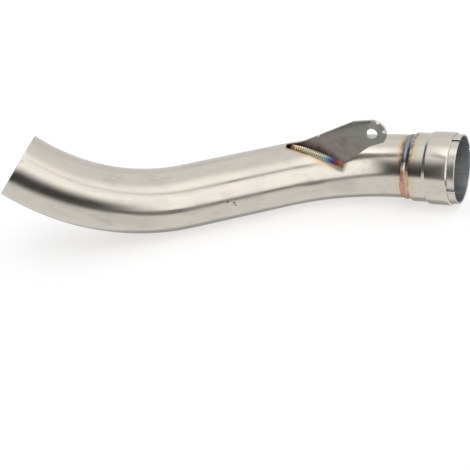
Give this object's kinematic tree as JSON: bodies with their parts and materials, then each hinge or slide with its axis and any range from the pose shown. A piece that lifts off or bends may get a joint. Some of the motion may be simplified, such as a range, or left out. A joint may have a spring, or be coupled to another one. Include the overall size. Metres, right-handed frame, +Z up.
{
  "type": "exhaust mid pipe",
  "caption": "Stainless exhaust mid pipe for a motorbike, bent in two planes, with a welded hanger bracket and a slotted slip socket at its outlet.",
  "frame": {"origin": "on the floor under the middle of the bounding box, with the pipe lying as it comes to rest on its two bends and the rim of its socket", "axes": "+Z up from the floor, +X along the pipe's longest extent from the inlet to the socket, +Y away from the side that the bolt hole's front face looks to"},
  "size_m": [0.3672, 0.1068, 0.0918],
  "materials": {
    "brushed_tube": "brushed along the tube",
    "brushed_sleeve": "brushed around the socket, with heat tint beside the seam",
    "ring_steel": "turned, darker inside",
    "bracket_plate": "plain cut sheet, dulled by heat beside the weld",
    "weld_bead": "rippled weld bead with straw, brown, blue and purple heat tint"
  },
  "bodies": {
    "root": {"main_tube": "brushed_tube", "slip_socket": "brushed_sleeve", "slotted_ring": "ring_steel", "hanger_bracket": "bracket_plate", "seam_weld": "weld_bead", "bracket_weld_front": "weld_bead", "bracket_weld_back": "weld_bead"}
  },
  "joints": []
}
